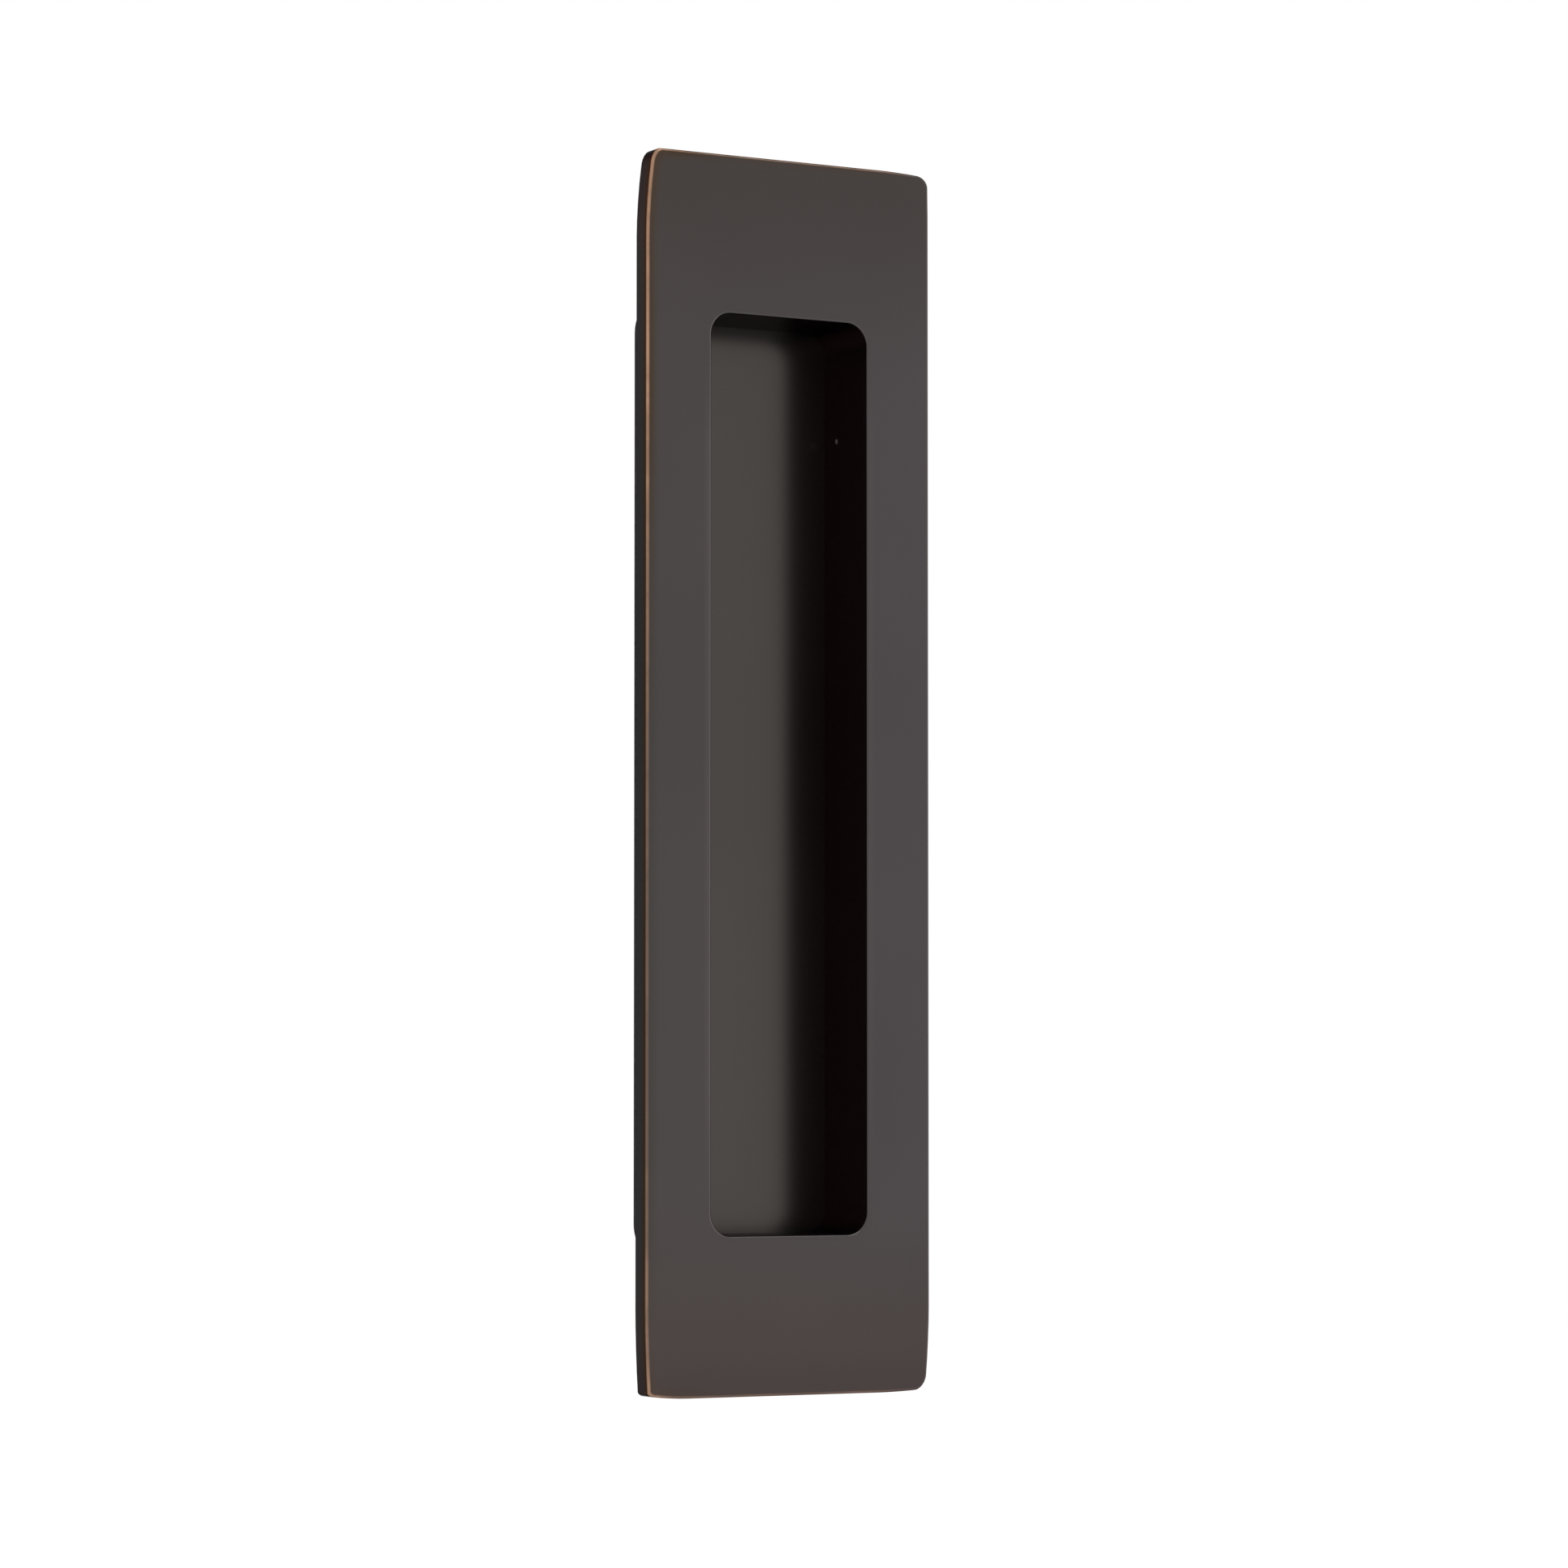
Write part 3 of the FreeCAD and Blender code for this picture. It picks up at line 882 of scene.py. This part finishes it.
# %% Gloss and grain
SATIN_LOW, SATIN_HIGH = 0.22, 0.25
SKIN_DULLS_BY = 0.12
BRUSHED = 0.02
GRAIN_DEPTH = 0.02 * MM
SAND_DEPTH = 0.12 * MM
print(f"brush grain {GRAIN_DEPTH / MM:.2f} mm deep, sand grain {SAND_DEPTH / MM:.2f} mm")


def satin_gloss(tree, cloud, cast_skin):
    """Roughness: satin with the clouds, duller on the cast skin."""
    satin = add_node(
        tree,
        "ShaderNodeMapRange",
        Value=cloud,
        From_Min=0.3,
        From_Max=0.7,
        To_Min=SATIN_LOW,
        To_Max=SATIN_HIGH,
    ).outputs[0]
    matt = add_node(
        tree, "ShaderNodeMapRange", Value=cast_skin, To_Min=0.0, To_Max=SKIN_DULLS_BY
    ).outputs[0]
    return add_node(tree, "ShaderNodeMath", {"operation": "ADD"}, i0=satin, i1=matt).outputs[0]


def fine_relief(tree, patterns, cast_skin):
    """The grain of the brush everywhere and the grain of the sand on the cast skin."""
    brushed = add_node(
        tree,
        "ShaderNodeBump",
        Strength=BRUSHED,
        Distance=GRAIN_DEPTH,
        Height=patterns["grain"],
    ).outputs["Normal"]
    return add_node(
        tree,
        "ShaderNodeBump",
        Strength=cast_skin,
        Distance=SAND_DEPTH,
        Height=patterns["sand"],
        Normal=brushed,
    ).outputs["Normal"]


# %% Pale fleck
FLECK_PLACE = Vector((13.1, 5.5, 50.8)) * MM
FLECK_CORE = 0.2 * MM
FLECK_REACH = 0.6 * MM
print("fleck at", [round(value / MM, 1) for value in FLECK_PLACE], "mm")


def pale_fleck(tree, place):
    """1 on the fleck and 0 away from it."""
    away = add_node(
        tree, "ShaderNodeVectorMath", {"operation": "DISTANCE"}, i0=place, i1=FLECK_PLACE
    ).outputs["Value"]
    return add_node(
        tree,
        "ShaderNodeMapRange",
        SMOOTH,
        Value=away,
        From_Min=FLECK_CORE,
        From_Max=FLECK_REACH,
        To_Min=1.0,
        To_Max=0.0,
    ).outputs[0]


# %% The whole finish
OIL_TINT = (0.27, 0.25, 0.27, 1.0)
PATINA_METAL, FLECK_METAL = 0.96, 0.6
FLECK_COLOUR = "#8E8486"


def oil_rubbed_bronze():
    """Dark satin patina on brass, with a halo and bare copper where the edge is rubbed."""
    material, tree = new_material("oil_rubbed_bronze")
    place = add_node(tree, "ShaderNodeTexCoord").outputs["Object"]
    axes = add_node(tree, "ShaderNodeSeparateXYZ", Vector=place).outputs
    marks = {
        name: add_node(tree, "ShaderNodeAttribute", {"attribute_name": name}).outputs["Fac"]
        for name in (*SURFACE_MARKS, WALL_MARK)
    }
    patterns = bronze_patterns(tree, place)
    fades = bronze_fades(tree, axes)
    rub = rub_by_height(tree, axes["Z"])
    fleck = pale_fleck(tree, place)

    colour = patina_tones_and_painted_shade(tree, axes, marks[WALL_MARK])
    colour = shades_and_lip_highlight(tree, colour, patterns, fades, marks)
    colour = brown_halos(tree, colour, axes["Y"], marks["halo"], rub, fades)
    colour = bare_copper(tree, colour, patterns["patch"], marks["rubbed"], rub, fades)
    colour = add_node(
        tree,
        "ShaderNodeMix",
        {"data_type": "RGBA"},
        i0=fleck,
        i6=colour,
        i7=linear(FLECK_COLOUR),
    ).outputs[2]
    metal = add_node(
        tree, "ShaderNodeMapRange", Value=fleck, To_Min=PATINA_METAL, To_Max=FLECK_METAL
    ).outputs[0]
    shader = add_node(
        tree,
        "ShaderNodeBsdfPrincipled",
        Base_Color=colour,
        Metallic=metal,
        Roughness=satin_gloss(tree, patterns["cloud"], marks["cast_skin"]),
        Specular_Tint=OIL_TINT,
        Normal=fine_relief(tree, patterns, marks["cast_skin"]),
    ).outputs[0]
    add_node(tree, "ShaderNodeOutputMaterial", Surface=shader)
    return material


bronze = oil_rubbed_bronze()
print("oil_rubbed_bronze:", len(bronze.node_tree.nodes), "nodes")

# %% [markdown]
# Bare turned brass
#
# The posts are put in after the bath, so they stay the yellow of bare brass: a full metal with
# a roughness of 0.28, a little blotched by handling. The lathe tool leaves fine rings round the
# bar. Real ones lie about a tenth of a millimetre apart, and they are drawn at 0.2 mm so that
# they show, as a wave along the axis. A wave texture counts 20 radians to a unit, which its
# scale has to undo.

# %% Turned brass
RING_PITCH = 0.2 * MM
BLOTCH_SIZE = 3 * MM
WAVE_RADIANS = 20


def turned_brass():
    """Bare brass with the rings of the lathe tool."""
    material, tree = new_material("turned_brass")
    place = add_node(tree, "ShaderNodeTexCoord").outputs["Object"]
    rings = add_node(
        tree,
        "ShaderNodeTexWave",
        {"wave_type": "BANDS", "bands_direction": "Y"},
        Vector=place,
        Scale=2 * math.pi / WAVE_RADIANS / RING_PITCH,
        Distortion=0.4,
    ).outputs["Fac"]
    blotch = add_node(
        tree, "ShaderNodeTexNoise", Vector=place, Scale=1 / BLOTCH_SIZE, Detail=3.0
    ).outputs["Fac"]
    colour = add_node(
        tree,
        "ShaderNodeMix",
        {"data_type": "RGBA"},
        i0=blotch,
        i6=linear("#D9B871"),
        i7=linear("#CDA95F"),
    ).outputs[2]
    bump = add_node(
        tree, "ShaderNodeBump", Strength=0.15, Distance=0.01 * MM, Height=rings
    ).outputs["Normal"]
    shader = add_node(
        tree,
        "ShaderNodeBsdfPrincipled",
        Base_Color=colour,
        Metallic=1.0,
        Roughness=0.28,
        Normal=bump,
    ).outputs[0]
    add_node(tree, "ShaderNodeOutputMaterial", Surface=shader)
    return material


brass = turned_brass()
print("turned_brass:", len(brass.node_tree.nodes), "nodes")

# %% [markdown]
# Brazing filler
#
# The filler is a silver alloy that ran into the joint and froze. It is paler than the brass,
# duller because nobody polishes it, and slightly lumpy. One noise pattern drives both its
# colour and its bump, so that the lumps are also the paler spots.

# %% Silver filler
LUMP_SIZE = 0.8 * MM


def silver_filler():
    """The frozen brazing filler round the foot of a post."""
    material, tree = new_material("silver_brazing_filler")
    place = add_node(tree, "ShaderNodeTexCoord").outputs["Object"]
    lumps = add_node(
        tree, "ShaderNodeTexNoise", Vector=place, Scale=1 / LUMP_SIZE, Detail=2.0
    ).outputs["Fac"]
    colour = add_node(
        tree,
        "ShaderNodeMix",
        {"data_type": "RGBA"},
        i0=lumps,
        i6=linear("#A89E8A"),
        i7=linear("#C4B99F"),
    ).outputs[2]
    bump = add_node(
        tree, "ShaderNodeBump", Strength=0.3, Distance=0.05 * MM, Height=lumps
    ).outputs["Normal"]
    shader = add_node(
        tree,
        "ShaderNodeBsdfPrincipled",
        Base_Color=colour,
        Metallic=1.0,
        Roughness=0.42,
        Normal=bump,
    ).outputs[0]
    add_node(tree, "ShaderNodeOutputMaterial", Surface=shader)
    return material


filler = silver_filler()
print("silver_brazing_filler:", len(filler.node_tree.nodes), "nodes")

# %% [markdown]
# Dressing the pull
#
# Each piece gets its finish and rides on the one body, and the piece of the imported model that
# it takes the place of is hidden. Thread and filler take the place of nothing, because the
# imported model has neither.

# %% Finish the pieces and let them ride
casting.data.materials.append(bronze)
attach(casting, "root")
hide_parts("pull_body")

for where, (post, thread, braze) in posts.items():
    post.data.materials.append(brass)
    thread.data.materials.append(brass)
    braze.data.materials.append(filler)
    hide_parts(f"fixing_post_{where}")
    for piece in (post, thread, braze):
        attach(piece, "root")
print("dressed:", 1 + sum(len(pieces) for pieces in posts.values()), "pieces")

# %% [markdown]
# Floor
#
# A pale floor lies below the pull and keeps its shadow. It is matt paper lit by the studio, and
# its own glow is added only where it is looked at, in a mirror or through glass too, so that it
# looks white without lighting the pull from below.

# %% Floor
FLOOR_DROP = 120 * MM
FLOOR_RADIUS = 3.0
FLOOR_GLOW = 0.42
WHITE_RAYS = ("Is Glossy Ray", "Is Transmission Ray")


def make_floor():
    """A wide disc of pale paper below the pull."""
    bm = bmesh.new()
    bmesh.ops.create_circle(
        bm,
        cap_ends=True,
        radius=FLOOR_RADIUS,
        segments=96,
        matrix=Matrix.Translation((0, 0, -PLATE_HEIGHT / 2 - FLOOR_DROP)),
    )
    mesh = bpy.data.meshes.new("studio_floor")
    bm.to_mesh(mesh)
    bm.free()
    floor = bpy.data.objects.new("studio_floor", mesh)
    bpy.context.scene.collection.objects.link(floor)
    material, tree = new_material("pale_paper")
    paper = add_node(tree, "ShaderNodeBsdfDiffuse", Color=linear("#E7E7E7")).outputs[0]
    light_path = add_node(tree, "ShaderNodeLightPath").outputs
    seen = light_path["Is Camera Ray"]
    for ray in WHITE_RAYS:
        seen = add_node(
            tree, "ShaderNodeMath", {"operation": "MAXIMUM"}, i0=seen, i1=light_path[ray]
        ).outputs[0]
    lift = add_node(
        tree, "ShaderNodeMath", {"operation": "MULTIPLY"}, i0=seen, i1=FLOOR_GLOW
    ).outputs[0]
    glow = add_node(tree, "ShaderNodeEmission", Color=(1, 1, 1, 1), Strength=lift).outputs[0]
    both = add_node(tree, "ShaderNodeAddShader", i0=paper, i1=glow).outputs[0]
    add_node(tree, "ShaderNodeOutputMaterial", Surface=both)
    floor.data.materials.append(material)


make_floor()
print(f"floor {FLOOR_DROP / MM:.0f} mm below the pull")

# %% [markdown]
# World
#
# A metal shows nothing but what it reflects, so the studio is part of the finish. The world is
# plain white for the camera, for reflections and through anything clear. As a lamp it gives a
# little less, so that a colour renders about as it is written.

# %% World
LAMP_LEVEL = 0.8


def make_world():
    """White to look at, a soft light from all sides to stand in."""
    world = bpy.data.worlds.new("white_studio")
    world.use_nodes = True
    tree = world.node_tree
    tree.nodes.clear()
    light_path = add_node(tree, "ShaderNodeLightPath").outputs
    seen = light_path["Is Camera Ray"]
    for ray in WHITE_RAYS:
        seen = add_node(
            tree, "ShaderNodeMath", {"operation": "MAXIMUM"}, i0=seen, i1=light_path[ray]
        ).outputs[0]
    white = (1, 1, 1, 1)
    lamp = add_node(tree, "ShaderNodeBackground", Color=white, Strength=LAMP_LEVEL).outputs[0]
    paper = add_node(tree, "ShaderNodeBackground", Color=white, Strength=1.0).outputs[0]
    sky = add_node(tree, "ShaderNodeMixShader", i0=seen, i1=lamp, i2=paper).outputs[0]
    add_node(tree, "ShaderNodeOutputWorld", Surface=sky)
    bpy.context.scene.world = world


make_world()
print("world:", bpy.context.scene.world.name)

# %% [markdown]
# Cards and softbox
#
# Photographers shape a metal's edges with cards that only the metal sees. Here a pale blue-grey
# card stands behind and to the left. It is a little dimmer than the white world, and it turns
# the plate's left side and the strip of cup behind it dark and cool. A bright card to the right
# draws the thin light line along the left lip of the opening, together with the highlight
# painted there. One softbox overhead lights the copper and the floor.

# %% Cards and softbox
CARDS = (
    # name, width and height in metres, place, colour, strength
    ("grey_flag", 0.7, 0.7, (-0.45, 0.55, -0.16), "#D6E6EA", 1.0),
    ("bright_side_card", 0.85, 1.0, (0.8, -0.22, 0.0), "#FFFFFF", 2.2),
)
SOFTBOX_PLACE = (0.3, -0.5, 1.1)
SOFTBOX_SIZE = 0.8
SOFTBOX_POWER = 3.0


def make_card(name, width, height, place, colour, strength):
    """A flat board that faces the pull. Only the metal sees it."""
    bm = bmesh.new()
    facing = (-Vector(place)).to_track_quat("Z", "Y").to_matrix().to_4x4()
    bmesh.ops.create_grid(
        bm,
        x_segments=1,
        y_segments=1,
        size=0.5,
        matrix=Matrix.Translation(place) @ facing @ Matrix.Diagonal((width, height, 1, 1)),
    )
    mesh = bpy.data.meshes.new(name)
    bm.to_mesh(mesh)
    bm.free()
    card = bpy.data.objects.new(name, mesh)
    bpy.context.scene.collection.objects.link(card)
    material, tree = new_material(f"{name}_board")
    board = add_node(
        tree, "ShaderNodeEmission", Color=linear(colour), Strength=strength
    ).outputs[0]
    add_node(tree, "ShaderNodeOutputMaterial", Surface=board)
    card.data.materials.append(material)
    card.visible_camera = False
    card.visible_diffuse = False
    card.visible_shadow = False


def soft_lamp(name, place, size, power):
    """A square softbox that looks at the pull."""
    light = bpy.data.lights.new(name, "AREA")
    light.size = size
    light.energy = power
    lamp = bpy.data.objects.new(name, light)
    lamp.location = place
    lamp.rotation_euler = (-Vector(place)).to_track_quat("-Z", "Y").to_euler()
    bpy.context.scene.collection.objects.link(lamp)


for card in CARDS:
    make_card(*card)
soft_lamp("overhead_softbox", SOFTBOX_PLACE, SOFTBOX_SIZE, SOFTBOX_POWER)
print("cards:", [name for name, *_ in CARDS])

# %% [markdown]
# Camera
#
# A long lens held to the left of the pull and a little below its middle. Its place and length
# were fitted to the plate's outline, its rubbed edge and the corners of the opening. It looks
# up by less than three degrees, so the upright edges stay upright, and a small vertical shift
# of the lens does the rest of the framing.

# %% Camera
PHOTO_SIZE = 1932
FOCAL_PIXELS = 6447.3
SHIFT_PIXELS = 116
SENSOR = 36.0
CAMERA_SIDE = math.radians(29.75)
CAMERA_DISTANCE = 764.3 * MM
CAMERA_HEIGHT = -47.44 * MM
LOOK_UP = 0.0423
LOOK_LEFT = 0.0012


def make_camera():
    """The long lens that takes the picture."""
    data = bpy.data.cameras.new("long_lens")
    data.sensor_width = SENSOR
    data.lens = FOCAL_PIXELS / PHOTO_SIZE * SENSOR
    data.shift_y = SHIFT_PIXELS / PHOTO_SIZE
    data.clip_start = 0.05
    data.clip_end = 20
    camera = bpy.data.objects.new("camera", data)
    camera.location = (
        -CAMERA_DISTANCE * math.sin(CAMERA_SIDE),
        FRONT_Y - CAMERA_DISTANCE * math.cos(CAMERA_SIDE),
        CAMERA_HEIGHT,
    )
    camera.rotation_euler = (math.pi / 2 + LOOK_UP, 0, LOOK_LEFT - CAMERA_SIDE)
    bpy.context.scene.collection.objects.link(camera)
    bpy.context.scene.camera = camera
    return camera


camera = make_camera()
bpy.context.scene.view_settings.view_transform = "Standard"
print(f"lens {camera.data.lens:.1f} mm, {CAMERA_DISTANCE / MM:.0f} mm from the pull")

# %% [markdown]
# The two boxes
# The finished scene
# The finished pull has to fill the same box as the imported model.

# %% Finish
print("casting, posts, floor, cards, softbox and camera are in place")
